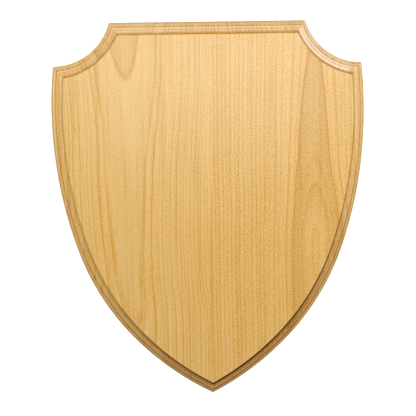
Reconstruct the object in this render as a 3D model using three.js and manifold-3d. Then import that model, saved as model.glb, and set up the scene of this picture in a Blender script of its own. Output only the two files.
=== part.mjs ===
// Heraldic shield wall plaque: a blank solid-wood board with a cove-and-bead edge cut round it.
// Millimetres, +Z up, the front faces -Y. The origin is on the flat back, halfway up the board.

import * as THREE from 'three';
import { mergeVertices } from 'three/addons/utils/BufferGeometryUtils.js';
import Module from 'manifold-3d';

// The outline, seen from the front. Drops are measured down from the top edge.
const PLAQUE_WIDTH = 305; // at the widest point of the sides
const PLAQUE_HEIGHT = 370; // top edge to tip
const TOP_WIDTH = 189.5; // straight top edge, horn to horn
const SHOULDER_DROP = 40.6; // where the scooped corners run out into the sides
const SCOOP_DEPTH = 11.3; // how far a scooped corner dips below a straight one
const WIDEST_DROP = 90; // where the sides are widest
const SIDE_RADIUS = 415; // upper part of each side
const SIDE_SHARE = 0.6; // share of the height at which the upper side ends
const TIP_SLOPE_DEG = 27; // the edge above horizontal as it reaches the tip

// The board and the profile of its edge, from the raised field outwards
const BOARD_THICKNESS = 19;
const LIP_DEPTH = 1.2; // upright step at the edge of the raised field
const COVE_RADIUS = 5.8;
const FILLET_WIDTH = 1.6; // flat between cove and bead
const QUIRK_DEPTH = 0.8; // small step that sets the bead off
const BEAD_RADIUS = 5.2;
const BACK_ARRIS = 0.8; // sharp edge taken off round the back

// The keyhole slot in the back. A screw head goes in at the hole, and the board then drops on it.
const KEYHOLE_HEAD_DIAMETER = 9.5;
const KEYHOLE_NECK_WIDTH = 5;
const KEYHOLE_TRAVEL = 20; // from the centre of the hole up to the seat of the screw
const KEYHOLE_SEAT_DROP = 52; // the seat, below the top edge
const KEYHOLE_LIP = 3.2; // wood that the screw head hooks behind
const KEYHOLE_DEPTH = 10;

// How finely curves are cut into flats
const SCOOP_STEPS = 16;
const SHOULDER_STEPS = 4; // shoulder to widest point
const SIDE_STEPS = 9;
const TOE_STEPS = 8;
const PROFILE_STEPS = 7;
const HOLE_STEPS = 32;
const CUT_OVERRUN = 2;

const WOOD = new THREE.MeshStandardMaterial({ color: 0xe2bb88, roughness: 0.42, metalness: 0 });

const halfWidth = PLAQUE_WIDTH / 2;
const topZ = PLAQUE_HEIGHT / 2;
const tip = new THREE.Vector2(0, -PLAQUE_HEIGHT / 2);

function pointOn(centre, radius, angle) {
  return new THREE.Vector2(centre.x + radius * Math.cos(angle), centre.y + radius * Math.sin(angle));
}

function angleFrom(centre, point) {
  return Math.atan2(point.y - centre.y, point.x - centre.x);
}

// Centre and radius of the arc that leaves start along heading, bends right and reaches end
function arcLeaving(start, heading, end) {
  const inward = new THREE.Vector2(heading.y, -heading.x);
  const chord = end.clone().sub(start);
  const radius = chord.lengthSq() / (2 * chord.dot(inward));
  return { centre: start.clone().addScaledVector(inward, radius), radius };
}

// Lower of the two points where two circles cross
function lowerCrossing(a, radiusA, b, radiusB) {
  const between = b.clone().sub(a);
  const gap = between.length();
  const along = (gap * gap + radiusA * radiusA - radiusB * radiusB) / (2 * gap);
  const aside = Math.sqrt(radiusA * radiusA - along * along);
  const foot = a.clone().addScaledVector(between, along / gap);
  const across = new THREE.Vector2(-between.y, between.x).multiplyScalar(aside / gap);
  return across.y < 0 ? foot.add(across) : foot.sub(across);
}

// The circles of the right-hand half: scooped corner, upper side, lower side and toe
function outlineCircles() {
  const side = { centre: new THREE.Vector2(halfWidth - SIDE_RADIUS, topZ - WIDEST_DROP), radius: SIDE_RADIUS };
  const horn = new THREE.Vector2(TOP_WIDTH / 2, topZ);
  const shoulderRise = WIDEST_DROP - SHOULDER_DROP;
  const shoulder = pointOn(side.centre, SIDE_RADIUS, Math.asin(shoulderRise / SIDE_RADIUS));

  const chord = shoulder.clone().sub(horn);
  const scoopRadius = chord.lengthSq() / (8 * SCOOP_DEPTH) + SCOOP_DEPTH / 2;
  const outward = new THREE.Vector2(-chord.y, chord.x).normalize();
  const middle = horn.clone().add(shoulder).multiplyScalar(0.5);
  const scoop = {
    centre: middle.addScaledVector(outward, scoopRadius - SCOOP_DEPTH),
    radius: scoopRadius,
  };

  // Two arcs carry on from the upper side to the tip, each tangent to the one before
  const sideEndAngle = -Math.asin((SIDE_SHARE * PLAQUE_HEIGHT - WIDEST_DROP) / SIDE_RADIUS);
  const sideEnd = pointOn(side.centre, SIDE_RADIUS, sideEndAngle);
  const leaving = new THREE.Vector2(Math.sin(sideEndAngle), -Math.cos(sideEndAngle));
  const slope = THREE.MathUtils.degToRad(TIP_SLOPE_DEG);
  const arriving = new THREE.Vector2(-Math.cos(slope), -Math.sin(slope));
  const span = tip.clone().sub(sideEnd);
  const bend = 2 * (1 - leaving.dot(arriving));
  const reach = span.dot(leaving.clone().add(arriving));
  const handle = (Math.sqrt(reach * reach + bend * span.lengthSq()) - reach) / bend;
  const kneeA = sideEnd.clone().addScaledVector(leaving, handle);
  const kneeB = tip.clone().addScaledVector(arriving, -handle);
  const joint = kneeA.clone().add(kneeB).multiplyScalar(0.5);
  const lower = arcLeaving(sideEnd, leaving, joint);
  const toe = arcLeaving(joint, kneeB.clone().sub(kneeA).normalize(), tip);

  return { scoop, side, lower, toe, sideEndAngle, jointAngle: angleFrom(toe.centre, joint) };
}

const circles = outlineCircles();

function arcPoints(centre, radius, from, to, steps) {
  return Array.from({ length: steps }, (_, i) => pointOn(centre, radius, from + ((to - from) * i) / steps));
}

// The closed outline moved inwards by inset, counterclockwise from the tip. Tangent arcs keep their
// centres, and the corners are found again where the moved curves cross.
function outline(inset) {
  const { scoop, side, lower, toe, sideEndAngle, jointAngle } = circles;
  const scoopRadius = scoop.radius + inset;
  const sideRadius = side.radius - inset;
  const toeRadius = toe.radius - inset;

  const hornZ = topZ - inset;
  const hornX = scoop.centre.x - Math.sqrt(scoopRadius ** 2 - (scoop.centre.y - hornZ) ** 2);
  const horn = new THREE.Vector2(hornX, hornZ);
  const shoulder = lowerCrossing(scoop.centre, scoopRadius, side.centre, sideRadius);
  const tipAngle = -Math.acos(-toe.centre.x / toeRadius);

  const turn = 2 * Math.PI;
  const hornAngle = (angleFrom(scoop.centre, horn) + turn) % turn;
  const shoulderAngle = (angleFrom(scoop.centre, shoulder) + turn) % turn;
  const half = [
    ...arcPoints(scoop.centre, scoopRadius, hornAngle, shoulderAngle, SCOOP_STEPS),
    ...arcPoints(side.centre, sideRadius, angleFrom(side.centre, shoulder), 0, SHOULDER_STEPS),
    ...arcPoints(side.centre, sideRadius, 0, sideEndAngle, SIDE_STEPS),
    ...arcPoints(lower.centre, lower.radius - inset, sideEndAngle, jointAngle, SIDE_STEPS),
    ...arcPoints(toe.centre, toeRadius, jointAngle, tipAngle, TOE_STEPS),
  ];
  const mirrored = half.map((p) => new THREE.Vector2(-p.x, p.y));
  return [pointOn(toe.centre, toeRadius, tipAngle), ...half.reverse(), ...mirrored];
}

// Stations of the edge profile: how far each is inside the outline, and how far behind the field
function edgeProfile() {
  const fieldInset = BEAD_RADIUS + FILLET_WIDTH + COVE_RADIUS;
  const filletDepth = LIP_DEPTH + COVE_RADIUS;
  const beadDepth = filletDepth + QUIRK_DEPTH;
  const stations = [{ inset: fieldInset, depth: 0 }];
  for (let i = 0; i <= PROFILE_STEPS; i++) {
    const angle = (i / PROFILE_STEPS) * (Math.PI / 2);
    stations.push({
      inset: fieldInset - COVE_RADIUS * (1 - Math.cos(angle)),
      depth: LIP_DEPTH + COVE_RADIUS * Math.sin(angle),
    });
  }
  stations.push({ inset: BEAD_RADIUS, depth: filletDepth });
  for (let i = 0; i <= PROFILE_STEPS; i++) {
    const angle = (i / PROFILE_STEPS) * (Math.PI / 2);
    stations.push({
      inset: BEAD_RADIUS * (1 - Math.sin(angle)),
      depth: beadDepth + BEAD_RADIUS * (1 - Math.cos(angle)),
    });
  }
  stations.push({ inset: 0, depth: BOARD_THICKNESS - BACK_ARRIS });
  stations.push({ inset: BACK_ARRIS, depth: BOARD_THICKNESS });
  return stations;
}

// The board before its slot is cut: one loop of points at each station, joined by walls and closed
// by the field in front and the flat back behind.
function boardGeometry() {
  const stations = edgeProfile();
  const loops = stations.map(({ inset }) => outline(inset));
  const count = loops[0].length;
  const positions = [];
  stations.forEach(({ depth }, s) => {
    for (const point of loops[s]) {
      positions.push(point.x, depth - BOARD_THICKNESS, point.y);
    }
  });

  const index = [];
  for (let s = 0; s + 1 < stations.length; s++) {
    for (let i = 0; i < count; i++) {
      const next = (i + 1) % count;
      const a = s * count + i;
      const b = s * count + next;
      const c = (s + 1) * count + next;
      const d = (s + 1) * count + i;
      index.push(a, d, c, a, c, b);
    }
  }
  for (const [a, b, c] of THREE.ShapeUtils.triangulateShape(loops[0], [])) {
    index.push(a, b, c);
  }
  const back = (stations.length - 1) * count;
  for (const [a, b, c] of THREE.ShapeUtils.triangulateShape(loops[stations.length - 1], [])) {
    index.push(back + a, back + c, back + b);
  }

  const geometry = new THREE.BufferGeometry();
  geometry.setAttribute('position', new THREE.Float32BufferAttribute(positions, 3));
  geometry.setIndex(index);
  return geometry;
}

// A round-ended cutter that runs up from the centre of the hole, between two depths in the back
function slotCutter(width, fromDepth, toDepth) {
  const shape = new THREE.Shape();
  shape.absarc(0, KEYHOLE_TRAVEL, width / 2, 0, Math.PI, false);
  shape.absarc(0, 0, width / 2, Math.PI, 2 * Math.PI, false);
  const depth = toDepth - fromDepth;
  const geometry = new THREE.ExtrudeGeometry(shape, {
    depth,
    bevelEnabled: false,
    curveSegments: HOLE_STEPS / 4,
  });
  return geometry.rotateX(Math.PI / 2).translate(0, -fromDepth, 0);
}

function holeCutter() {
  const radius = KEYHOLE_HEAD_DIAMETER / 2;
  const length = KEYHOLE_DEPTH + CUT_OVERRUN;
  const geometry = new THREE.CylinderGeometry(radius, radius, length, HOLE_STEPS);
  return geometry.translate(0, CUT_OVERRUN - length / 2, 0);
}

const wasm = await Module();
wasm.setup();

function toSolid(geometry) {
  const bare = geometry.clone();
  bare.deleteAttribute('normal');
  bare.deleteAttribute('uv');
  const merged = mergeVertices(bare);
  const mesh = new wasm.Mesh({
    numProp: 3,
    vertProperties: new Float32Array(merged.attributes.position.array),
    triVerts: new Uint32Array(merged.index.array),
  });
  return new wasm.Manifold(mesh);
}

function toGeometry(solid) {
  const mesh = solid.getMesh();
  const geometry = new THREE.BufferGeometry();
  geometry.setAttribute('position', new THREE.BufferAttribute(mesh.vertProperties, 3));
  geometry.setIndex(new THREE.BufferAttribute(mesh.triVerts, 1));
  geometry.computeVertexNormals();
  return geometry;
}

function keyholeCutter() {
  const holeZ = topZ - KEYHOLE_SEAT_DROP - KEYHOLE_TRAVEL;
  const neck = slotCutter(KEYHOLE_NECK_WIDTH, -CUT_OVERRUN, (KEYHOLE_LIP + KEYHOLE_DEPTH) / 2);
  const channel = slotCutter(KEYHOLE_HEAD_DIAMETER, KEYHOLE_LIP, KEYHOLE_DEPTH);
  const cutters = [holeCutter(), channel, neck].map((cutter) => toSolid(cutter.translate(0, 0, holeZ)));
  return cutters.reduce((whole, cutter) => whole.add(cutter));
}

function makeBoard() {
  const solid = toSolid(boardGeometry()).subtract(keyholeCutter());
  const board = new THREE.Mesh(toGeometry(solid), WOOD);
  board.name = 'shield_board';
  return board;
}

const plaque = new THREE.Group();
plaque.name = 'heraldic_shield_plaque';
plaque.add(makeBoard());

export default plaque;
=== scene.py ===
"""Heraldic shield wall plaque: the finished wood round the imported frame, on a plain studio stage."""

import math

import bmesh
import bpy
from bpy.props import FloatProperty, FloatVectorProperty, PointerProperty
from bpy.types import Operator, Panel, PropertyGroup
from mathutils import Matrix, Vector


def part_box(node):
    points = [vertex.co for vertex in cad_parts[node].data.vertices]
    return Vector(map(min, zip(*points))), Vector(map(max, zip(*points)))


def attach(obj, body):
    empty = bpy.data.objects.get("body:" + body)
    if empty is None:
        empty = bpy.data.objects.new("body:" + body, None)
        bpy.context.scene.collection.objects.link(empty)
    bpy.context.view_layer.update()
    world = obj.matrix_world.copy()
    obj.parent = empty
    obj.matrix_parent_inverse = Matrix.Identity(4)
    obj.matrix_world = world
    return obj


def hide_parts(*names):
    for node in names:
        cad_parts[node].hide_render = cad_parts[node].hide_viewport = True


bl_info = {
    "name": "Heraldic shield plaque",
    "version": (1, 0, 0),
    "blender": (4, 5, 0),
    "location": "View3D > Sidebar > Plaque",
    "description": "A blank wooden shield plaque with a cove-and-bead edge, and its studio stage",
    "category": "Add Mesh",
}

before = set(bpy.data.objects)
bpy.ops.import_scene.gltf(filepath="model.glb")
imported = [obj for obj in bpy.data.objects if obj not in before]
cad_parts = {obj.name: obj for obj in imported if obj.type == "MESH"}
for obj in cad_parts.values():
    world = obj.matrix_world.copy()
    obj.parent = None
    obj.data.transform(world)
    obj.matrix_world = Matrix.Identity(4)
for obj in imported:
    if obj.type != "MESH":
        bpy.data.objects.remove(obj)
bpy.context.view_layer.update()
board_low, board_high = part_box("shield_board")
board_size = board_high - board_low

MM = 0.001


def length(name, description, default):
    return FloatProperty(
        name=name,
        description=description,
        default=default,
        min=0.0,
        unit="LENGTH",
        subtype="DISTANCE",
        precision=4,
    )


def angle(name, description, default):
    return FloatProperty(
        name=name,
        description=description,
        default=default,
        unit="ROTATION",
        subtype="ANGLE",
    )


def colour(name, description, default):
    return FloatVectorProperty(
        name=name,
        description=description,
        default=default,
        size=3,
        min=0.0,
        max=1.0,
        subtype="COLOR",
    )


def share(name, description, default):
    return FloatProperty(
        name=name,
        description=description,
        default=default,
        min=0.0,
        max=1.0,
        subtype="FACTOR",
    )


class ShieldSizes(PropertyGroup):
    """The outline seen from the front, the profile of its edge, and the slot in the back"""

    width: length("Width", "At the widest point of the sides", board_size.x)
    height: length("Height", "From the top edge to the tip", board_size.z)
    thickness: length("Thickness", "Front of the raised field to the back", board_size.y)
    top_width: length("Top width", "Straight top edge, horn to horn", 189.5 * MM)
    shoulder_drop: length("Shoulder drop", "Top edge down to where a scooped corner runs out", 40.6 * MM)
    scoop_depth: length("Scoop depth", "How far a scooped corner dips below a straight one", 11.3 * MM)
    widest_drop: length("Widest drop", "Top edge down to the widest point", 90 * MM)
    side_radius: length("Side radius", "Upper part of each side", 415 * MM)
    side_share: share("Side share", "Share of the height at which the upper side ends", 0.6)
    tip_slope: angle("Tip slope", "The edge above horizontal as it reaches the tip", math.radians(27))

    lip_depth: length("Lip depth", "Upright step at the edge of the raised field", 1.2 * MM)
    cove_radius: length("Cove radius", "Hollow between lip and fillet", 5.8 * MM)
    fillet_width: length("Fillet width", "Flat between cove and bead", 1.6 * MM)
    quirk_depth: length("Quirk depth", "Small step that sets the bead off", 0.8 * MM)
    bead_radius: length("Bead radius", "Rounded outer edge", 5.2 * MM)
    field_arris: length("Field arris", "Sanded edge of the raised field", 0.5 * MM)
    fillet_arris: length("Fillet arris", "Sanded edge of the fillet", 0.3 * MM)
    back_arris: length("Back arris", "Sharp edge taken off round the back", 0.8 * MM)
    corner_ease: length("Corner ease", "How far sanding reaches round the outer corners", 1.3 * MM)

    slot_head: length("Slot head", "Hole and channel for the screw's head", 9.5 * MM)
    slot_neck: length("Slot neck", "Way for the screw's shank", 5 * MM)
    slot_travel: length("Slot travel", "Hole's centre up to the seat of the screw", 20 * MM)
    slot_seat_drop: length("Slot seat drop", "Seat of the screw below the top edge", 52 * MM)
    slot_lip: length("Slot lip", "Wood that the screw's head hooks behind", 3.2 * MM)
    slot_depth: length("Slot depth", "Depth of the channel in the back", 10 * MM)


class WoodLook(PropertyGroup):
    """Colour and figure of the two glued staves and of their finish, and the tints of the painted shade and
    painted highlights on the moulding
    """

    pale: colour("Pale wood", "Early wood, between the growth lines", (0.797, 0.515, 0.171))
    line: colour("Growth line", "Late wood at the end of a year's ring", (0.672, 0.323, 0.024))
    dark_year: colour("Dark year", "Tint of the few strong years", (0.895, 0.85, 0.70))
    # The end grain's darker colour, which on edges that face down also carries painted shade
    end_grain_and_shade: colour("End grain", "Tint where the edge cuts across the fibres", (0.66, 0.49, 0.27))
    # Painted shade: the dark tint laid in the lines under the lip and in the quirk
    shade_tint: colour("Gathered finish", "Tint where the finish gathers in the moulding", (0.23, 0.10, 0.015))
    # Painted highlight: a pale tint laid where the moulding catches light, strongest on the right scoop
    painted_highlight: colour("Rubbed wood", "Where sanding leaves the moulding pale", (0.95, 0.84, 0.68))
    patch: colour("Patch", "Tint of the warm patch low in the left stave", (0.88, 0.70, 0.45))
    mineral: colour("Mineral fleck", "Tint of the dark fleck high at the left", (0.35, 0.28, 0.22))
    joint_x: FloatProperty(
        name="Joint",
        description="Glue line between the staves at half height, right of the centre",
        default=0.5 * MM,
        unit="LENGTH",
    )
    gloss: share("Gloss roughness", "Roughness of the clear satin coat", 0.36)


class StageLook(PropertyGroup):
    """Camera and plain backdrop"""

    camera_distance: length("Camera distance", "From the point that it looks at", 770 * MM)
    camera_azimuth: angle("Camera azimuth", "Round from straight in front", math.radians(-1.4))
    camera_elevation: angle("Camera elevation", "Above the horizon", math.radians(7.1))
    camera_roll: angle("Camera roll", "Tilt about its own axis", math.radians(-0.93))
    floor_drop: length("Floor drop", "Floor below the tip of the plaque", 700 * MM)
    floor_width: length("Floor width", "Side of the square floor", 10.0)
    wall_distance: length("Wall distance", "Back wall behind the plaque", 2.0)
    wall_height: length("Wall height", "Walls above the floor", 6.0)
    wall_fold: length("Wall fold", "Rounding between the walls and the floor", 0.8)
    white: colour("Stage white", "Floor and walls", (0.9, 0.9, 0.9))


def clamp(value):
    return max(0.0, min(1.0, value))


def deselect_all():
    if bpy.context.mode != "OBJECT":
        bpy.ops.object.mode_set(mode="OBJECT")
    bpy.ops.object.select_all(action="DESELECT")


def apply_modifier(obj, modifier):
    bpy.context.view_layer.objects.active = obj
    bpy.ops.object.modifier_apply(modifier=modifier.name)


# The outline, in the plane of the field: x to the right, y up


def point_on(centre, radius, turn):
    return centre + Vector((math.cos(turn), math.sin(turn))) * radius


def turn_from(centre, point):
    return math.atan2(point.y - centre.y, point.x - centre.x)


def arc_leaving(start, heading, end):
    """Centre and radius of the arc that leaves start along heading, bends right and reaches end."""
    inward = Vector((heading.y, -heading.x))
    chord = end - start
    radius = chord.length_squared / (2 * chord.dot(inward))
    return start + inward * radius, radius


def lower_crossing(a, radius_a, b, radius_b):
    """Lower of the two points where two circles cross."""
    between = b - a
    gap = between.length
    along = (gap * gap + radius_a**2 - radius_b**2) / (2 * gap)
    aside = math.sqrt(radius_a**2 - along**2)
    foot = a + between * (along / gap)
    across = Vector((-between.y, between.x)) * (aside / gap)
    return foot + across if across.y < 0 else foot - across


class Outline:
    """The shield's outline as tangent arcs, at any distance inside its own edge."""

    SCOOP_STEPS = 44
    SHOULDER_STEPS = 12
    SIDE_STEPS = 30
    TOE_STEPS = 20
    CORNER_STEPS = 4

    def __init__(self, sizes):
        self.top = board_high.z
        tip = Vector((0, self.top - sizes.height))
        self.side = Vector((sizes.width / 2 - sizes.side_radius, self.top - sizes.widest_drop))
        self.side_radius = sizes.side_radius

        horn = Vector((sizes.top_width / 2, self.top))
        rise = math.asin((sizes.widest_drop - sizes.shoulder_drop) / sizes.side_radius)
        shoulder = point_on(self.side, sizes.side_radius, rise)
        chord = shoulder - horn
        outward = Vector((-chord.y, chord.x)).normalized()
        self.scoop_radius = chord.length_squared / (8 * sizes.scoop_depth) + sizes.scoop_depth / 2
        self.scoop = (horn + shoulder) / 2 + outward * (self.scoop_radius - sizes.scoop_depth)

        drop = sizes.side_share * sizes.height - sizes.widest_drop
        self.side_end = -math.asin(drop / sizes.side_radius)
        start = point_on(self.side, sizes.side_radius, self.side_end)
        leaving = Vector((math.sin(self.side_end), -math.cos(self.side_end)))
        arriving = Vector((-math.cos(sizes.tip_slope), -math.sin(sizes.tip_slope)))
        span = tip - start
        bend = 2 * (1 - leaving.dot(arriving))
        reach = span.dot(leaving + arriving)
        handle = (math.sqrt(reach * reach + bend * span.length_squared) - reach) / bend
        knee_a = start + leaving * handle
        knee_b = tip - arriving * handle
        meeting = (knee_a + knee_b) / 2
        self.lower, self.lower_radius = arc_leaving(start, leaving, meeting)
        self.toe, self.toe_radius = arc_leaving(meeting, (knee_b - knee_a).normalized(), tip)
        self.toe_start = turn_from(self.toe, meeting)

    def arc(self, centre, radius, start, end, steps):
        return [point_on(centre, radius, start + (end - start) * i / steps) for i in range(steps + 1)]

    def eased(self, before, corner, after):
        """Points of the small curve that rounds a corner between two points near it."""
        points = []
        for i in range(1, self.CORNER_STEPS):
            t = i / self.CORNER_STEPS
            points.append(before * (1 - t) ** 2 + corner * (2 * t * (1 - t)) + after * t**2)
        return points

    def loop(self, inset, ease):
        """The closed outline moved inwards by inset, from the middle of the tip up the right side."""
        full = 2 * math.pi
        scoop_radius = self.scoop_radius + inset
        side_radius = self.side_radius - inset
        lower_radius = self.lower_radius - inset
        toe_radius = self.toe_radius - inset

        horn_y = self.top - inset
        horn = Vector((self.scoop.x - math.sqrt(scoop_radius**2 - (self.scoop.y - horn_y) ** 2), horn_y))
        shoulder = lower_crossing(self.scoop, scoop_radius, self.side, side_radius)
        tip_turn = -math.acos(-self.toe.x / toe_radius)
        tip = point_on(self.toe, toe_radius, tip_turn)
        horn_turn = turn_from(self.scoop, horn) % full + ease / scoop_radius
        scoop_end = turn_from(self.scoop, shoulder) % full - ease / scoop_radius
        side_top = turn_from(self.side, shoulder) - ease / side_radius

        toe = self.arc(self.toe, toe_radius, tip_turn + ease / toe_radius, self.toe_start, self.TOE_STEPS)
        lower = self.arc(self.lower, lower_radius, self.toe_start, self.side_end, self.SIDE_STEPS)
        side = self.arc(self.side, side_radius, self.side_end, 0, self.SIDE_STEPS)
        shoulder_side = self.arc(self.side, side_radius, 0, side_top, self.SHOULDER_STEPS)
        scoop = self.arc(self.scoop, scoop_radius, scoop_end, horn_turn, self.SCOOP_STEPS)
        top_end = horn - Vector((ease, 0))

        tip_curve = self.eased(Vector((-toe[0].x, toe[0].y)), tip, toe[0])
        half = tip_curve[len(tip_curve) // 2 :] + toe[:-1] + lower[:-1] + side[:-1] + shoulder_side
        half += self.eased(shoulder_side[-1], shoulder, scoop[0]) + scoop
        half += self.eased(scoop[-1], horn, top_end) + [top_end]
        mirrored = [Vector((-p.x, p.y)) for p in reversed(half[1:])]
        return half + mirrored


# The edge profile: steps round each of its curves
COVE_STEPS = 14
BEAD_STEPS = 14
ARRIS_STEPS = 4

# How far from the edge the flat ring within an arris ends, in widths of that arris
RING_END = 3

# How far easing reaches round the outline's corners, on all the lines inside the bead
INNER_EASE = 0.35 * MM

# How much of the end grain's colour and painted shade the fillet's arris and the bead take, where the cove
# takes it all
ARRIS_CUT = 0.15
BEAD_CUT = 0.25

# Painted highlights: a stretch of the cove round one turn of its curve, and the crest of the bead
COVE_HIGHLIGHT = 0.5
COVE_HIGHLIGHT_TURN = 1.2
COVE_HIGHLIGHT_SPREAD = 0.36
BEAD_HIGHLIGHT = 0.35
BEAD_HIGHLIGHT_POWER = 4

# How much farther from the quirk the fillet's flat counts, so that no painted shade falls on it
FILLET_CLEAR = 1.2 * MM


class Station:
    """A line of the edge profile that runs all round the board. lip_way and quirk_way are how far along
    the profile the corner under the lip or in the quirk is. cut is how much of the end grain's colour and
    painted shade the line takes, and rub how strong a painted highlight the line takes."""

    def __init__(self, inset, depth, ease=INNER_EASE, lip_way=None, quirk_way=None, cut=1.0, rub=0.0):
        self.inset = inset
        self.depth = depth
        self.ease = ease
        self.lip_way = lip_way
        self.quirk_way = quirk_way
        self.cut = cut
        self.rub = rub


def quarter(steps):
    return [math.pi / 2 * i / steps for i in range(steps + 1)]


def field_stations(s, edge):
    stations = [Station(edge + RING_END * s.field_arris, 0.0, cut=0.0)]
    for t in quarter(ARRIS_STEPS):
        inset = edge + s.field_arris * (1 - math.sin(t))
        depth = s.field_arris * (1 - math.cos(t))
        stations.append(Station(inset, depth, cut=0.0))
    return stations


def cove_stations(s, edge):
    stations = []
    for t in quarter(COVE_STEPS):
        inset = edge - s.cove_radius * (1 - math.cos(t))
        depth = s.lip_depth + s.cove_radius * math.sin(t)
        rub = COVE_HIGHLIGHT * clamp(1 - ((t - COVE_HIGHLIGHT_TURN) / COVE_HIGHLIGHT_SPREAD) ** 2)
        stations.append(Station(inset, depth, lip_way=s.cove_radius * t, rub=rub))
    return stations


def fillet_stations(s, flat, crown):
    stations = []
    for t in quarter(ARRIS_STEPS):
        inset = s.bead_radius + s.fillet_arris * (1 - math.sin(t))
        depth = flat + s.fillet_arris * (1 - math.cos(t))
        quirk_way = crown - depth + FILLET_CLEAR * math.cos(t)
        # A painted highlight along the fillet's arris
        stations.append(Station(inset, depth, quirk_way=quirk_way, cut=ARRIS_CUT, rub=math.cos(t)))
    return stations


def bead_stations(s, crown):
    stations = []
    for t in quarter(BEAD_STEPS):
        inset = s.bead_radius * (1 - math.sin(t))
        depth = crown + s.bead_radius * (1 - math.cos(t))
        ease = INNER_EASE + (s.corner_ease - INNER_EASE) * t / (math.pi / 2)
        rub = BEAD_HIGHLIGHT * math.sin(2 * t) ** BEAD_HIGHLIGHT_POWER
        stations.append(Station(inset, depth, ease, quirk_way=s.bead_radius * t, cut=BEAD_CUT, rub=rub))
    return stations


def back_stations(s):
    stations = []
    for t in quarter(ARRIS_STEPS):
        inset = s.back_arris * (1 - math.cos(t))
        depth = s.thickness - s.back_arris * (1 - math.sin(t))
        stations.append(Station(inset, depth, s.corner_ease, cut=BEAD_CUT * math.cos(t)))
    stations.append(Station(RING_END * s.back_arris, s.thickness, s.corner_ease, cut=0.0))
    return stations


def edge_profile(sizes):
    """All the stations, from the field out over the moulding and round to the back."""
    edge = sizes.bead_radius + sizes.fillet_width + sizes.cove_radius
    flat = sizes.lip_depth + sizes.cove_radius
    crown = flat + sizes.quirk_depth
    return (
        field_stations(sizes, edge)
        + cove_stations(sizes, edge)
        + fillet_stations(sizes, flat, crown)
        + bead_stations(sizes, crown)
        + back_stations(sizes)
    )


# The board's mesh


def place_loop(ring, points, depth):
    for vertex, point in zip(ring, points):
        vertex.co = Vector((point.x, board_low.y + depth, point.y))


def extrude_loop(obj, ring):
    """Extrudes the selected loop. Returns its new vertices, in the order of ring, and before them the
    mesh, which the caller has to hold on to for as long as it uses them."""
    places = [vertex.index for vertex in ring]
    bpy.ops.mesh.extrude_edges_move()
    mesh = bmesh.from_edit_mesh(obj.data)
    mesh.verts.ensure_lookup_table()
    new_ring = []
    for place in places:
        vertex = mesh.verts[place]
        new_ring.append(next(e.other_vert(vertex) for e in vertex.link_edges if e.other_vert(vertex).select))
    mesh.verts.index_update()
    return mesh, new_ring


def model_board(outline, stations, sizes):
    """The board without its slot, drawn as a loop that is extruded from station to station."""
    loops = [outline.loop(station.inset, station.ease) for station in stations]

    deselect_all()
    bpy.ops.mesh.primitive_circle_add(vertices=len(loops[0]), radius=sizes.width / 2, fill_type="NOTHING")
    board = bpy.context.object
    bpy.ops.object.mode_set(mode="EDIT")
    bpy.ops.mesh.select_all(action="SELECT")
    mesh = bmesh.from_edit_mesh(board.data)
    mesh.verts.ensure_lookup_table()
    ring = list(mesh.verts)
    place_loop(ring, loops[0], stations[0].depth)
    bpy.ops.mesh.edge_face_add()
    bpy.ops.mesh.select_mode(type="EDGE")
    bpy.ops.mesh.select_all(action="SELECT")
    mesh = bmesh.from_edit_mesh(board.data)
    mesh.verts.ensure_lookup_table()
    ring = list(mesh.verts)
    for points, station in zip(loops[1:], stations[1:]):
        mesh, ring = extrude_loop(board, ring)
        place_loop(ring, points, station.depth)
    bpy.ops.mesh.edge_face_add()
    bmesh.update_edit_mesh(board.data)
    bpy.ops.mesh.select_mode(type="VERT")
    bpy.ops.mesh.select_all(action="SELECT")
    bpy.ops.mesh.normals_make_consistent(inside=False)
    bpy.ops.object.mode_set(mode="OBJECT")
    return board


SLOT_SIDES = 48
CUT_OVERRUN = 2 * MM


def round_slot_cutter(width, travel, front, back):
    """A round-ended bar that stands on its lower centre, between two depths along Y."""
    deselect_all()
    bpy.ops.mesh.primitive_cylinder_add(
        vertices=SLOT_SIDES,
        radius=width / 2,
        depth=back - front,
        location=(0, (front + back) / 2, 0),
        rotation=(math.pi / 2, 0, 0),
    )
    cutter = bpy.context.object
    bpy.ops.object.transform_apply(location=True, rotation=True, scale=True)
    hair = MM / 1000
    for vertex in cutter.data.vertices:
        if vertex.co.z > hair:
            vertex.co.z += travel
    return cutter


def cut_slot(board, sizes):
    """The keyhole slot in the back: a hole, and above it a channel behind a narrower neck."""
    hole_z = board_high.z - sizes.slot_seat_drop - sizes.slot_travel
    back = board_high.y
    bottom = back - sizes.slot_depth
    beyond = back + CUT_OVERRUN
    cutters = [
        round_slot_cutter(sizes.slot_head, 0.0, bottom, beyond),
        round_slot_cutter(sizes.slot_head, sizes.slot_travel, bottom, back - sizes.slot_lip),
        round_slot_cutter(sizes.slot_neck, sizes.slot_travel, back - sizes.slot_depth / 2, beyond),
    ]
    for cutter in cutters:
        for vertex in cutter.data.vertices:
            vertex.co.z += hole_z
        deselect_all()
        board.select_set(True)
        cut = board.modifiers.new("slot", "BOOLEAN")
        cut.operation = "DIFFERENCE"
        cut.solver = "EXACT"
        cut.object = cutter
        apply_modifier(board, cut)
        bpy.data.objects.remove(cutter)


# Marks on the moulding. Shade is painted in a line under the lip and in one in the quirk. The line under
# the lip reaches LEVEL from its corner, and FOOT on an edge that faces straight down. The line in the
# quirk reaches its FOOT there, and nothing elsewhere. Past its reach each line fades.
LIP_LINE_LEVEL = 2.2 * MM
LIP_LINE_FOOT = 6.5 * MM
LIP_LINE_RIGHT = 0.5 * MM
LIP_LINE_FADE = 1.6 * MM
QUIRK_LINE_FOOT = 1.15 * MM
QUIRK_LINE_FADE = 0.9 * MM
QUIRK_FADE_LOST = 0.4

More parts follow.
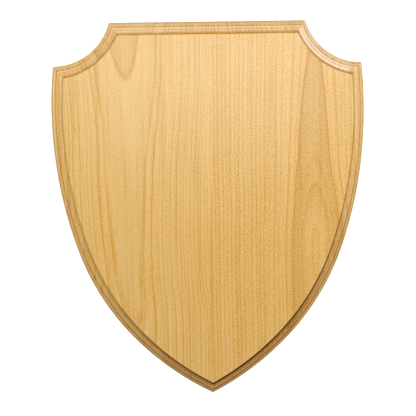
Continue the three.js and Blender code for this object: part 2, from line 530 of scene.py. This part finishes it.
# How much painted shade lies on any edge, and what is added on one that faces right or down
LIP_SHADE = 0.35
LIP_SHADE_RIGHT = 0.3
LIP_SHADE_UNDER = 0.8
QUIRK_SHADE = 0.85
QUIRK_SHADE_RIGHT = 0.1
QUIRK_SHADE_UNDER = 0.3

# What an edge that faces down counts for on the left, where the painted shade is lighter
LEFT_UNDER = 0.8

# How strong the painted highlight is on any edge, what is added on one that faces right or up, and in place
# of all this the factor on the right scoop
HIGHLIGHT_BASE = 0.15
HIGHLIGHT_RIGHT = 0.15
HIGHLIGHT_UP = 0.35
HIGHLIGHT_RIGHT_SCOOP = 1.35

# The right scoop is where an edge faces both up and right by more than this
SCOOP_FACES_UP = 0.25
SCOOP_FACES_RIGHT = 0.2


def lip_and_quirk_shade(station, under, rightward):
    """How much painted shade lies at a station, where under is 1 along an edge that faces down and
    rightward is 1 along one that faces right."""
    if rightward < 0:
        under *= LEFT_UNDER
    if station.lip_way is not None:
        line = LIP_LINE_LEVEL + (LIP_LINE_FOOT - LIP_LINE_LEVEL) * under
        line += LIP_LINE_RIGHT * max(0.0, rightward)
        most = clamp(LIP_SHADE + LIP_SHADE_RIGHT * rightward + LIP_SHADE_UNDER * under)
        return most * clamp(1 - (station.lip_way - line) / LIP_LINE_FADE)
    if station.quirk_way is not None:
        most = clamp(QUIRK_SHADE + QUIRK_SHADE_UNDER * under + QUIRK_SHADE_RIGHT * rightward)
        fade = QUIRK_LINE_FADE * (1 - QUIRK_FADE_LOST * under)
        return most * clamp(1 - (station.quirk_way - QUIRK_LINE_FOOT * under) / fade)
    return 0.0


def highlight_strength(station, upward, rightward):
    """How strong a painted highlight a place takes: most on the right scoop, less along the top and the
    right side, and least at the left and the foot."""
    if upward > SCOOP_FACES_UP and rightward > SCOOP_FACES_RIGHT:
        return clamp(station.rub * HIGHLIGHT_RIGHT_SCOOP)
    return station.rub * clamp(HIGHLIGHT_BASE + HIGHLIGHT_RIGHT * rightward + HIGHLIGHT_UP * upward)


def mark_moulding(board, outline, stations):
    """Marks on the moulding: painted shade in its hollows, painted highlights, how squarely its run
    crosses the fibres, and how much of the end grain's colour and painted shade it shows."""
    names = ("painted_shade", "painted_highlight", "crossing", "cut")
    for name in names:
        board.data.attributes.new(name, "FLOAT", "POINT")
    painted_shade, painted_highlight, crossing, cut = (board.data.attributes[name] for name in names)
    for row, station in enumerate(stations):
        loop = outline.loop(station.inset, station.ease)
        count = len(loop)
        for i in range(count):
            along = (loop[(i + 1) % count] - loop[i - 1]).normalized()
            upward = -along.x
            rightward = along.y
            vertex = row * count + i
            # Painted shade in the lines under the lip and in the quirk
            painted_shade.data[vertex].value = lip_and_quirk_shade(station, max(0.0, -upward), rightward)
            # Painted highlights on the moulding
            painted_highlight.data[vertex].value = highlight_strength(station, upward, rightward)
            crossing.data[vertex].value = upward
            cut.data[vertex].value = station.cut


# Values at every point of the wood, worked out by shader nodes


class Value:
    """A number, a vector or a colour at every point of the wood."""

    def __init__(self, tree, socket):
        self.tree = tree
        self.socket = socket

    def math(self, operation, *others):
        node = self.tree.nodes.new("ShaderNodeMath")
        node.operation = operation
        for slot, value in zip(node.inputs, (self, *others)):
            connect(self.tree, slot, value)
        return Value(self.tree, node.outputs[0])

    def __add__(self, other):
        return self.math("ADD", other)

    def __sub__(self, other):
        return self.math("SUBTRACT", other)

    def __mul__(self, other):
        return self.math("MULTIPLY", other)

    def __truediv__(self, other):
        return self.math("DIVIDE", other)

    def __pow__(self, other):
        return self.math("POWER", other)

    def remap(self, low, high, new_low=0.0, new_high=1.0, smooth=False):
        node = self.tree.nodes.new("ShaderNodeMapRange")
        node.interpolation_type = "SMOOTHSTEP" if smooth else "LINEAR"
        settings = {
            "Value": self,
            "From Min": low,
            "From Max": high,
            "To Min": new_low,
            "To Max": new_high,
        }
        for name, value in settings.items():
            connect(self.tree, node.inputs[name], value)
        return Value(self.tree, node.outputs["Result"])


def connect(tree, socket, value):
    if isinstance(value, Value):
        tree.links.new(value.socket, socket)
    else:
        socket.default_value = value


def vector(tree, x, y, z):
    node = tree.nodes.new("ShaderNodeCombineXYZ")
    for socket, value in zip(node.inputs, (x, y, z)):
        connect(tree, socket, value)
    return Value(tree, node.outputs[0])


def marked(tree, name):
    """One of the marks that the board's mesh carries."""
    node = tree.nodes.new("ShaderNodeAttribute")
    node.attribute_name = name
    return Value(tree, node.outputs["Fac"])


def noise(tree, where, detail=0.0, kind="3D"):
    node = tree.nodes.new("ShaderNodeTexNoise")
    node.noise_dimensions = kind
    connect(tree, node.inputs["W" if kind == "1D" else "Vector"], where)
    node.inputs["Scale"].default_value = 1.0
    node.inputs["Detail"].default_value = detail
    return Value(tree, node.outputs["Fac"])


def white_noise(tree, where):
    node = tree.nodes.new("ShaderNodeTexWhiteNoise")
    node.noise_dimensions = "1D"
    connect(tree, node.inputs["W"], where)
    return Value(tree, node.outputs["Value"])


def curve(tree, where, points):
    """A smooth curve through a few listed points, given as (height, value) from the lowest up."""
    heights = [p[0] for p in points]
    values = [p[1] for p in points]
    foot, head = min(heights), max(heights)
    low, high = min(values), max(values)
    node = tree.nodes.new("ShaderNodeFloatCurve")
    line = node.mapping.curves[0]
    while len(line.points) < len(points):
        line.points.new(0.5, 0.5)
    for knot, (height, value) in zip(line.points, points):
        knot.location = ((height - foot) / (head - foot), (value - low) / (high - low))
    node.mapping.update()
    connect(tree, node.inputs["Value"], where.remap(foot, head))
    return Value(tree, node.outputs[0]).remap(0.0, 1.0, low, high)


def mix_colour(tree, factor, a, b, blend="MIX"):
    node = tree.nodes.new("ShaderNodeMix")
    node.data_type = "RGBA"
    node.blend_type = blend
    node.clamp_factor = True
    connect(tree, node.inputs["Factor"], factor)
    for name, value in (("A", a), ("B", b)):
        socket = next(i for i in node.inputs if i.name == name and i.type == "RGBA")
        if isinstance(value, Value):
            tree.links.new(value.socket, socket)
        else:
            socket.default_value = (*value, 1.0)
    return Value(tree, next(o for o in node.outputs if o.type == "RGBA"))


class Wood:
    """Every point of the wood: x to the right, depth behind the field, and z up."""

    def __init__(self, tree, coordinates):
        split = tree.nodes.new("ShaderNodeSeparateXYZ")
        tree.links.new(coordinates, split.inputs[0])
        self.tree = tree
        self.x = Value(tree, split.outputs[0])
        self.z = Value(tree, split.outputs[2])
        self.depth = Value(tree, split.outputs[1]) - board_low.y

    def variation(self, across, along, detail):
        """Noise either side of zero, with so many waves a metre across the fibres and along them."""
        where = vector(self.tree, self.x * across, self.depth * across, self.z * along)
        return noise(self.tree, where, detail=detail) - 0.5

    def spot(self, place, half_size):
        """One in the middle of an oval on the field, fading to zero at its edge."""
        across = (self.x - place[0]) / half_size[0]
        up = (self.z - place[1]) / half_size[1]
        return (across * across + up * up).remap(0.0, 1.0, 1.0, 0.0, smooth=True)


# A year's ring, in shares of its width: it darkens slowly, and ends in a sharp line
SLOW_START = 0.05
SLOW_END = 0.95
SLOW_POWER = 1.5
SLOW_TONE = 0.65
LINE_START = 0.78
LINE_END = 0.93
LINE_TONE = 0.6

# Rings differ in width by a slow drift, in years, and in strength down to the weakest
WIDTH_DRIFT = 0.9
WIDTH_DRIFT_PACE = 0.4
WEAKEST_YEAR = 0.25

# A strong year's band, and the thin line at its end: its dark core and its faint edge
BAND_POWER = 0.8
BAND_EDGE = 0.15 * MM
STRONG_LINE_CORE = 0.1 * MM
STRONG_LINE_EDGE = 0.5 * MM
STRONG_LINE_TONE = 0.6

# Rings waver in long waves and in short ones: waves a metre across and along, and how far
LONG_WAVES = (24, 8)
LONG_WAVER = 1.4 * MM
SHORT_WAVES = (90, 30)
SHORT_WAVER = 0.4 * MM

# What is left of the ordinary years inside a plain heart, and how gently they set in round it
HEART_YEARS = 0.2
HEART_EDGE = 1.5 * MM


class Stave:
    """One of the two boards glued edge to edge. Its years are rings round a pith that runs behind it.
    Inside plain_heart only the strong years show. Each of these has the radius where it ends, the width
    over which it darkens, and its strength."""

    def __init__(self, pith_x, pith_depth, ring, seed, strong, plain_heart):
        self.pith_x = pith_x
        self.pith_depth = pith_depth
        self.ring = ring
        self.seed = seed
        self.strong = strong
        self.plain_heart = plain_heart

    def radius(self, wood):
        """How far a point is from the pith, with the waver of the rings."""
        across = wood.x - curve(wood.tree, wood.z, self.pith_x)
        behind = curve(wood.tree, wood.z, self.pith_depth) - wood.depth
        long_waver = wood.variation(*LONG_WAVES, detail=1.0) * LONG_WAVER
        short_waver = wood.variation(*SHORT_WAVES, detail=1.0) * SHORT_WAVER
        return (across * across + behind * behind).math("SQRT") + long_waver + short_waver

    def late_wood(self, tree, radius):
        """How dark the ordinary years are."""
        years = radius / self.ring
        drift = noise(tree, years * WIDTH_DRIFT_PACE + self.seed, kind="1D", detail=1.0) - 0.5
        years = years + drift * WIDTH_DRIFT
        part = years.math("FRACT")
        strength = white_noise(tree, years.math("FLOOR") + self.seed).remap(0.0, 1.0, WEAKEST_YEAR, 1.0)
        slow = part.remap(SLOW_START, SLOW_END) ** SLOW_POWER * SLOW_TONE
        sharp = part.remap(LINE_START, LINE_END, smooth=True) * LINE_TONE
        return (slow + sharp) * part.remap(LINE_END, 1.0, 1.0, 0.0) * strength

    def figure(self, wood):
        """The tone of all the years, and the bands of the strong ones."""
        radius = self.radius(wood)
        plain = radius.remap(self.plain_heart, self.plain_heart + HEART_EDGE, HEART_YEARS, 1.0)
        years = self.late_wood(wood.tree, radius) * plain
        bands = []
        for end, width, strength in self.strong:
            fall = radius.remap(end, end + BAND_EDGE, strength, 0.0)
            bands.append(radius.remap(end - width, end) ** BAND_POWER * fall)
            from_end = (radius - end).math("ABSOLUTE")
            line = from_end.remap(STRONG_LINE_CORE, STRONG_LINE_EDGE, strength, 0.0)
            years = years + line * STRONG_LINE_TONE
        band = bands[0]
        for other in bands[1:]:
            band = band.math("MAXIMUM", other)
        return years, band


# The pith of each stave, at heights up the board: its place across, and how far behind the field it is
LEFT_STAVE = Stave(
    pith_x=(
        (-0.185, -0.074), (-0.104, -0.0755), (-0.084, -0.0775), (-0.059, -0.0805), (0.025, -0.0825),
        (0.064, -0.081), (0.112, -0.0792), (0.132, -0.0792), (0.185, -0.0818),
    ),
    pith_depth=(
        (-0.185, 0.0580), (-0.104, 0.0562), (-0.059, 0.0552), (-0.024, 0.0545), (0.025, 0.0534),
        (0.064, 0.0527), (0.112, 0.0504), (0.132, 0.0490), (0.158, 0.0476), (0.185, 0.0462),
    ),
    ring=2.6 * MM,
    seed=3.0,
    strong=((49.0 * MM, 5.0 * MM, 0.65), (56.3 * MM, 2.8 * MM, 0.35)),
    plain_heart=55.5 * MM,
)
RIGHT_STAVE = Stave(
    pith_x=((-0.185, 0.105), (-0.09, 0.103), (0.002, 0.103), (0.05, 0.101), (0.185, 0.1005)),
    pith_depth=(
        (-0.185, 0.0205), (-0.088, 0.0199), (-0.028, 0.0190), (0.002, 0.0211), (0.0265, 0.0233),
        (0.041, 0.0248), (0.099, 0.0275), (0.16, 0.0300), (0.185, 0.0308),
    ),
    ring=3.9 * MM,
    seed=11.0,
    strong=((30.1 * MM, 9.0 * MM, 1.0), (23.3 * MM, 3.0 * MM, 0.6)),
    plain_heart=29.5 * MM,
)

# The glue line leans to the right on its way up, by this much a metre, and is this wide to each side
JOINT_LEAN = 0.014
JOINT_HALF_WIDTH = 0.5 * MM

# The left stave's bands are faint below one height on the board, and full above the other
FAINT_BAND = 0.35
FAINT_BAND_TOP = 30 * MM
FULL_BAND_FOOT = 110 * MM

# How far the fibres lean out of the board's plane, to the back in one stave and the front in the other
GRAIN_SLOPE = 0.16

# End grain starts to show, and shows fully, where an edge faces up or down by this much once the
# fibres' lean is taken off. Its tint is partly painted shade, so one that faces up takes only a share of it.
END_GRAIN_START = 0.25
END_GRAIN_FULL = 0.8
UPWARD_SHARE_OF_GRAIN_SHADE = 0.22

# Waves a metre across the fibres and along them, and detail, of what varies in the wood
FIBRE = (700, 12, 2.0)
STREAK = (210, 4, 1.0)
CLOUD = (34, 22, 2.0)
GRIT = (880, 760, 1.0)

# Flecks are slanted patches. Waves a metre: along x and z across the patch, in depth, and along it.
FLECK_X = 420
FLECK_Z = 300
FLECK_DEPTH = 400
FLECK_ALONG_Z = 130
FLECK_ALONG_X = -180

# What each adds to the tone of the wood, from pale at 0 to the growth line's colour at 1. Years and
# fibres add more on end grain, and grit and years differ between the staves.
BASE_TONE = 0.1
LEFT_YEARS = 0.9
RIGHT_YEARS = 1.2
YEARS_TONE = 1.3
YEARS_TONE_END = 3.8
FIBRE_TONE = 1.1
FIBRE_TONE_END = 0.8
CLOUD_TONE = 0.5
LEFT_GRIT_TONE = 2.4
RIGHT_GRIT_TONE = 4.2
FLECK_TONE = 0.5
JOINT_TONE = 0.3
BAND_TONE = 0.4

# Two marks on the field of the left stave: place and half size, across and up
PATCH_PLACE = (-71.4 * MM, -102.4 * MM)
PATCH_HALF_SIZE = (5.5 * MM, 9.0 * MM)
PATCH_STRENGTH = 0.5
MINERAL_PLACE = (-128.7 * MM, 84.5 * MM)
MINERAL_HALF_SIZE = (0.45 * MM, 2.3 * MM)

# The finish
COATED_ROUGHNESS = 0.5
BARE_ROUGHNESS = 0.7
WOOD_IOR = 1.5
COAT_IOR = 1.6

# The fine relief under the finish: the fibres stand up, the pores and the years' lines sink in
RELIEF_STRENGTH = 0.12
RELIEF_DEPTH = 0.05 * MM
FIBRE_RELIEF = 0.6
GRIT_RELIEF = 0.5
YEARS_RELIEF = 0.2


def either(on_right, left, right):
    """The value of the stave that a point lies in."""
    return on_right * (right - left) + left


def wood_material(name, look, coated):
    material = bpy.data.materials.new(name)
    material.use_nodes = True
    tree = material.node_tree
    shader = tree.nodes["Principled BSDF"]
    coords = tree.nodes.new("ShaderNodeTexCoord")
    wood = Wood(tree, coords.outputs["Object"])

    joint_line = wood.z * JOINT_LEAN + look.joint_x
    joint = (wood.x - joint_line).math("ABSOLUTE").remap(0.0, JOINT_HALF_WIDTH, 1.0, 0.0)
    on_right = wood.x.math("GREATER_THAN", joint_line)

    left_years, left_band = LEFT_STAVE.figure(wood)
    right_years, right_band = RIGHT_STAVE.figure(wood)
    left_band = left_band * wood.z.remap(FAINT_BAND_TOP, FULL_BAND_FOOT, FAINT_BAND, 1.0)
    years = either(on_right, left_years * LEFT_YEARS, right_years * RIGHT_YEARS)
    band = either(on_right, left_band, right_band)

    fibre = wood.variation(*FIBRE)
    streak = wood.variation(*STREAK)
    cloud = wood.variation(*CLOUD)
    grit = wood.variation(*GRIT)
    fleck_across = wood.x * FLECK_X + wood.z * FLECK_Z
    fleck_along = wood.z * FLECK_ALONG_Z + wood.x * FLECK_ALONG_X
    fleck = noise(tree, vector(tree, fleck_across, wood.depth * FLECK_DEPTH, fleck_along)) - 0.5

    run = marked(tree, "crossing") - either(on_right, -GRAIN_SLOPE, GRAIN_SLOPE)
    upward = run.remap(END_GRAIN_START, END_GRAIN_FULL, smooth=True)
    downward = run.remap(-END_GRAIN_START, -END_GRAIN_FULL, smooth=True)
    cut = marked(tree, "cut")
    end_on = (upward + downward).math("MINIMUM", 1.0) * cut
    # End grain's tint, strongest on edges that face down, where it is partly painted shade
    end_grain_and_shade_mask = (downward + upward * UPWARD_SHARE_OF_GRAIN_SHADE) * cut

    tone = years * (end_on * YEARS_TONE_END + YEARS_TONE) + fibre * (end_on * FIBRE_TONE_END + FIBRE_TONE)
    tone = tone + streak + cloud * CLOUD_TONE + grit * either(on_right, LEFT_GRIT_TONE, RIGHT_GRIT_TONE)
    tone = tone + fleck * FLECK_TONE + joint * JOINT_TONE + band * BAND_TONE + BASE_TONE
    colour = mix_colour(tree, tone, look.pale, look.line)
    colour = mix_colour(tree, band, colour, look.dark_year, "MULTIPLY")
    colour = mix_colour(tree, end_grain_and_shade_mask, colour, look.end_grain_and_shade, "MULTIPLY")
    # Painted highlight on the moulding
    colour = mix_colour(tree, marked(tree, "painted_highlight"), colour, look.painted_highlight)
    patch = wood.spot(PATCH_PLACE, PATCH_HALF_SIZE) * PATCH_STRENGTH
    colour = mix_colour(tree, patch, colour, look.patch, "MULTIPLY")
    mineral = wood.spot(MINERAL_PLACE, MINERAL_HALF_SIZE)
    colour = mix_colour(tree, mineral, colour, look.mineral, "MULTIPLY")
    # Painted shade under the lip and in the quirk
    colour = mix_colour(tree, marked(tree, "painted_shade"), colour, look.shade_tint, "MULTIPLY")
    tree.links.new(colour.socket, shader.inputs["Base Color"])

    shader.inputs["IOR"].default_value = WOOD_IOR
    if coated:
        shader.inputs["Roughness"].default_value = COATED_ROUGHNESS
        shader.inputs["Specular IOR Level"].default_value = 0.0
        shader.inputs["Coat Weight"].default_value = 1.0
        shader.inputs["Coat Roughness"].default_value = look.gloss
        shader.inputs["Coat IOR"].default_value = COAT_IOR
    else:
        shader.inputs["Roughness"].default_value = BARE_ROUGHNESS

    bump = tree.nodes.new("ShaderNodeBump")
    bump.inputs["Strength"].default_value = RELIEF_STRENGTH
    bump.inputs["Distance"].default_value = RELIEF_DEPTH
    relief = fibre * FIBRE_RELIEF - grit * GRIT_RELIEF - years * YEARS_RELIEF
    tree.links.new(relief.socket, bump.inputs["Height"])
    tree.links.new(bump.outputs[0], shader.inputs["Normal"])
    return material


# Faces that meet at less than this are shaded as one curve
SMOOTH_ANGLE = math.radians(32)

# A face belongs to the back where its normal points back by more than this
FACES_BACK = 0.9

# The slot lies more than this inside the board's upper and lower ends
SLOT_MARGIN = 30 * MM


def leave_back_bare(board, sizes):
    """Gives the second finish, sealed and not glossy, to the back and to the walls of the slot."""
    slot_bottom = board_high.y - sizes.slot_depth - MM
    for polygon in board.data.polygons:
        centre = polygon.center
        on_back = polygon.normal.y > FACES_BACK
        near_middle = abs(centre.x) < 2 * sizes.slot_head
        in_slot = near_middle and abs(centre.z) < board_high.z - SLOT_MARGIN
        if centre.y > slot_bottom and (on_back or in_slot):
            polygon.material_index = 1


class PLAQUE_OT_shield_board(Operator):
    """Models the shield board with its moulded edge and its hanging slot, and finishes it"""

    bl_idname = "plaque.shield_board"
    bl_label = "Shield board"
    bl_options = {"REGISTER", "UNDO"}

    def execute(self, context):
        sizes = context.scene.shield_sizes
        look = context.scene.wood_look
        outline = Outline(sizes)
        stations = edge_profile(sizes)
        board = model_board(outline, stations, sizes)
        board.name = board.data.name = "finished_shield_board"
        mark_moulding(board, outline, stations)
        cut_slot(board, sizes)
        deselect_all()
        board.select_set(True)
        context.view_layer.objects.active = board
        bpy.ops.object.shade_smooth_by_angle(angle=SMOOTH_ANGLE)
        board.data.materials.append(wood_material("satin_finished_wood", look, coated=True))
        board.data.materials.append(wood_material("sealed_back_wood", look, coated=False))
        leave_back_bare(board, sizes)
        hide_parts("shield_board")
        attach(board, "root")
        return {"FINISHED"}


# Each softbox: name, width and height, power in watts, place, and roll about its own axis
SOFTBOXES = (
    ("key_softbox", (0.7, 0.28), 4.7, (0.05, -1.06, 0.23), 0.0),
    ("top_softbox", (0.9, 0.4), 1.8, (0.0, -0.58, 0.94), 0.0),
    ("left_softbox", (0.3, 0.6), 4.4, (-0.99, -0.38, 0.26), 0.0),
    ("right_softbox", (0.3, 0.6), 2.8, (0.92, -0.53, 0.28), 0.0),
    ("corner_strip", (0.34, 0.85), 6.2, (0.76, -1.19, 0.76), math.radians(-45)),
    ("low_softbox", (0.9, 0.3), 1.5, (0.0, -0.84, -0.70), 0.0),
    ("back_left_softbox", (0.8, 0.6), 9.0, (-0.7, 1.2, 0.5), 0.0),
    ("back_right_softbox", (0.8, 0.6), 5.0, (0.9, 1.0, 0.2), 0.0),
)
AIR_GLOW = 0.06

# The walls and the floor, which glow so that they show an even white
FOLD_STEPS = 12
WALL_ROUGHNESS = 0.9
WALL_GLOW = 0.95

# The camera: the sensor's width in mm, its focal length in pixels of a frame so many pixels wide,
# and what it looks at, across and up from the middle of the board
SENSOR_WIDTH = 36.0
FOCAL_PIXELS = 790.5
FRAME_PIXELS = 416
AIM = (-2.4 * MM, 5.9 * MM)


def turned_from(direction, roll):
    """The turn of a camera or light that looks along a direction and is rolled about it."""
    turn = direction.to_track_quat("-Z", "Y").to_matrix() @ Matrix.Rotation(roll, 3, "Z")
    return turn.to_quaternion()


def soft_light(name, size, power, place, roll):
    """A rectangular softbox turned towards the middle of the plaque."""
    data = bpy.data.lights.new(name, "AREA")
    data.shape = "RECTANGLE"
    data.size, data.size_y = size
    data.energy = power
    light = bpy.data.objects.new(name, data)
    light.location = place
    light.rotation_mode = "QUATERNION"
    light.rotation_quaternion = turned_from(-Vector(place), roll)
    light.visible_camera = False
    bpy.context.collection.objects.link(light)


def backdrop_material(look):
    material = bpy.data.materials.new("studio_white")
    material.use_nodes = True
    shader = material.node_tree.nodes["Principled BSDF"]
    shader.inputs["Base Color"].default_value = (*look.white, 1.0)
    shader.inputs["Roughness"].default_value = WALL_ROUGHNESS
    shader.inputs["Specular IOR Level"].default_value = 0.0
    shader.inputs["Emission Color"].default_value = (1.0, 1.0, 1.0, 1.0)
    shader.inputs["Emission Strength"].default_value = WALL_GLOW
    return material


class PLAQUE_OT_stage(Operator):
    """Sets the camera, the soft lights and the plain floor with its walls"""

    bl_idname = "plaque.stage"
    bl_label = "Stage"
    bl_options = {"REGISTER", "UNDO"}

    def execute(self, context):
        look = context.scene.stage_look
        self.add_backdrop(look)
        self.add_camera(context, look)
        for softbox in SOFTBOXES:
            soft_light(*softbox)
        self.add_air(context)
        return {"FINISHED"}

    def add_backdrop(self, look):
        """A floor whose four edges are extruded up into walls and rounded, so every side has a wall."""
        floor_y = look.wall_distance - look.floor_width / 2
        floor_z = board_low.z - look.floor_drop
        deselect_all()
        bpy.ops.mesh.primitive_plane_add(size=look.floor_width, location=(0, floor_y, floor_z))
        backdrop = bpy.context.object
        backdrop.name = backdrop.data.name = "studio_backdrop"
        bpy.ops.object.transform_apply(location=True, rotation=True, scale=True)
        bpy.ops.object.mode_set(mode="EDIT")
        bpy.ops.mesh.select_mode(type="EDGE")
        bpy.ops.mesh.select_all(action="SELECT")
        bpy.ops.mesh.extrude_edges_move(TRANSFORM_OT_translate={"value": (0, 0, look.wall_height)})
        bpy.ops.mesh.select_all(action="SELECT")
        bpy.ops.mesh.normals_make_consistent(inside=True)
        bpy.ops.object.mode_set(mode="OBJECT")
        fold = backdrop.modifiers.new("fold", "BEVEL")
        fold.width = look.wall_fold
        fold.segments = FOLD_STEPS
        apply_modifier(backdrop, fold)
        bpy.ops.object.shade_smooth()
        backdrop.data.materials.append(backdrop_material(look))
        backdrop.visible_diffuse = False
        backdrop.visible_glossy = False

    def add_camera(self, context, look):
        data = bpy.data.cameras.new("camera")
        data.sensor_width = SENSOR_WIDTH
        data.lens = FOCAL_PIXELS / FRAME_PIXELS * SENSOR_WIDTH
        camera = bpy.data.objects.new("camera", data)
        context.collection.objects.link(camera)
        level = math.cos(look.camera_elevation)
        across = math.sin(look.camera_azimuth) * level
        forward = math.cos(look.camera_azimuth) * level
        back = Vector((across, -forward, math.sin(look.camera_elevation)))
        aim = Vector((AIM[0], board_low.y, AIM[1]))
        camera.location = aim + back * look.camera_distance
        camera.rotation_mode = "QUATERNION"
        camera.rotation_quaternion = turned_from(-back, look.camera_roll)
        context.scene.camera = camera

    def add_air(self, context):
        """A faint even light from all sides, and plain colours with no film look."""
        world = bpy.data.worlds.new("studio_air")
        world.use_nodes = True
        background = world.node_tree.nodes["Background"]
        background.inputs["Color"].default_value = (1.0, 1.0, 1.0, 1.0)
        background.inputs["Strength"].default_value = AIR_GLOW
        context.scene.world = world
        context.scene.view_settings.view_transform = "Standard"


class PLAQUE_PT_panel(Panel):
    """Lists the plaque's operators, sizes and colours"""

    bl_label = "Shield plaque"
    bl_idname = "PLAQUE_PT_panel"
    bl_space_type = "VIEW_3D"
    bl_region_type = "UI"
    bl_category = "Plaque"

    def draw(self, context):
        layout = self.layout
        layout.operator(PLAQUE_OT_shield_board.bl_idname)
        layout.operator(PLAQUE_OT_stage.bl_idname)
        for group in (context.scene.shield_sizes, context.scene.wood_look, context.scene.stage_look):
            box = layout.box()
            for name in group.bl_rna.properties.keys():
                if name not in ("rna_type", "name"):
                    box.prop(group, name)


CLASSES = (
    ShieldSizes,
    WoodLook,
    StageLook,
    PLAQUE_OT_shield_board,
    PLAQUE_OT_stage,
    PLAQUE_PT_panel,
)


def register():
    for cls in CLASSES:
        bpy.utils.register_class(cls)
    bpy.types.Scene.shield_sizes = PointerProperty(type=ShieldSizes)
    bpy.types.Scene.wood_look = PointerProperty(type=WoodLook)
    bpy.types.Scene.stage_look = PointerProperty(type=StageLook)


def unregister():
    del bpy.types.Scene.shield_sizes
    del bpy.types.Scene.wood_look
    del bpy.types.Scene.stage_look
    for cls in reversed(CLASSES):
        bpy.utils.unregister_class(cls)


def main():
    register()
    bpy.ops.plaque.stage()
    bpy.ops.plaque.shield_board()


if __name__ == "__main__":
    main()
